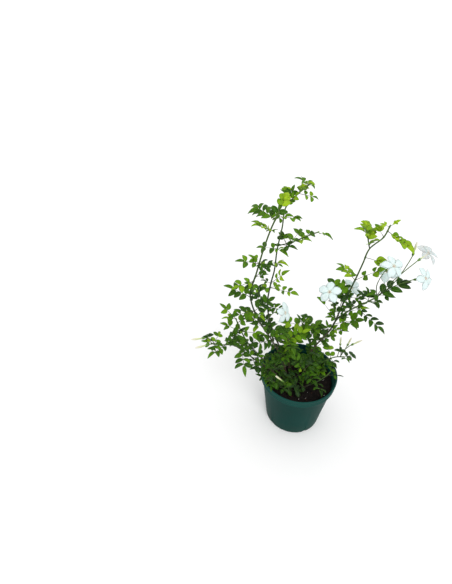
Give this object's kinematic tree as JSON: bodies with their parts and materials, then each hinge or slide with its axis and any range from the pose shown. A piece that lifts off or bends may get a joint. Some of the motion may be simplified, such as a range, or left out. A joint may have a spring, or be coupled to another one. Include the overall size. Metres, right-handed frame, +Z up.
{
  "type": "potted flowering plant",
  "caption": "Spanish jasmine in a round nursery pot: slender arching stems with pinnate leaves, open white star-shaped flowers on slim tubes and pointed buds.",
  "frame": {"origin": "middle of the pot's flat base, on the surface it stands on", "axes": "+Z up along the pot's axis; -Y is the side that faces the viewer of the picture; +X to that viewer's right"},
  "size_m": [0.3523, 0.198, 0.4832],
  "materials": {
    "pot": "dark green thin-walled plastic with a soft sheen",
    "soil": "moist peat and bark potting mix, rough",
    "foliage": "living green stems and leaves, softly glossy",
    "petal": "thin, soft white petals",
    "bud": "closed petals, pale yellow green"
  },
  "bodies": {
    "root": {"pot": "pot", "soil": "soil", "right_stem": "foliage", "tall_left_stem": "foliage", "second_left_stem": "foliage", "mid_left_stem": "foliage", "low_left_stem": "foliage", "low_right_stem": "foliage", "back_stem": "foliage", "centre_left_stem": "foliage", "centre_stem": "foliage", "front_stem": "foliage", "front_left_stem": "foliage", "flower_1": "petal", "flower_2": "petal", "flower_3": "petal", "flower_4": "petal", "flower_5": "petal", "flower_6": "petal", "flower_7": "petal", "bud_1": "bud", "bud_2": "bud", "bud_3": "bud", "bud_4": "bud", "bud_5": "bud", "bud_6": "bud", "bud_7": "bud"}
  },
  "joints": []
}
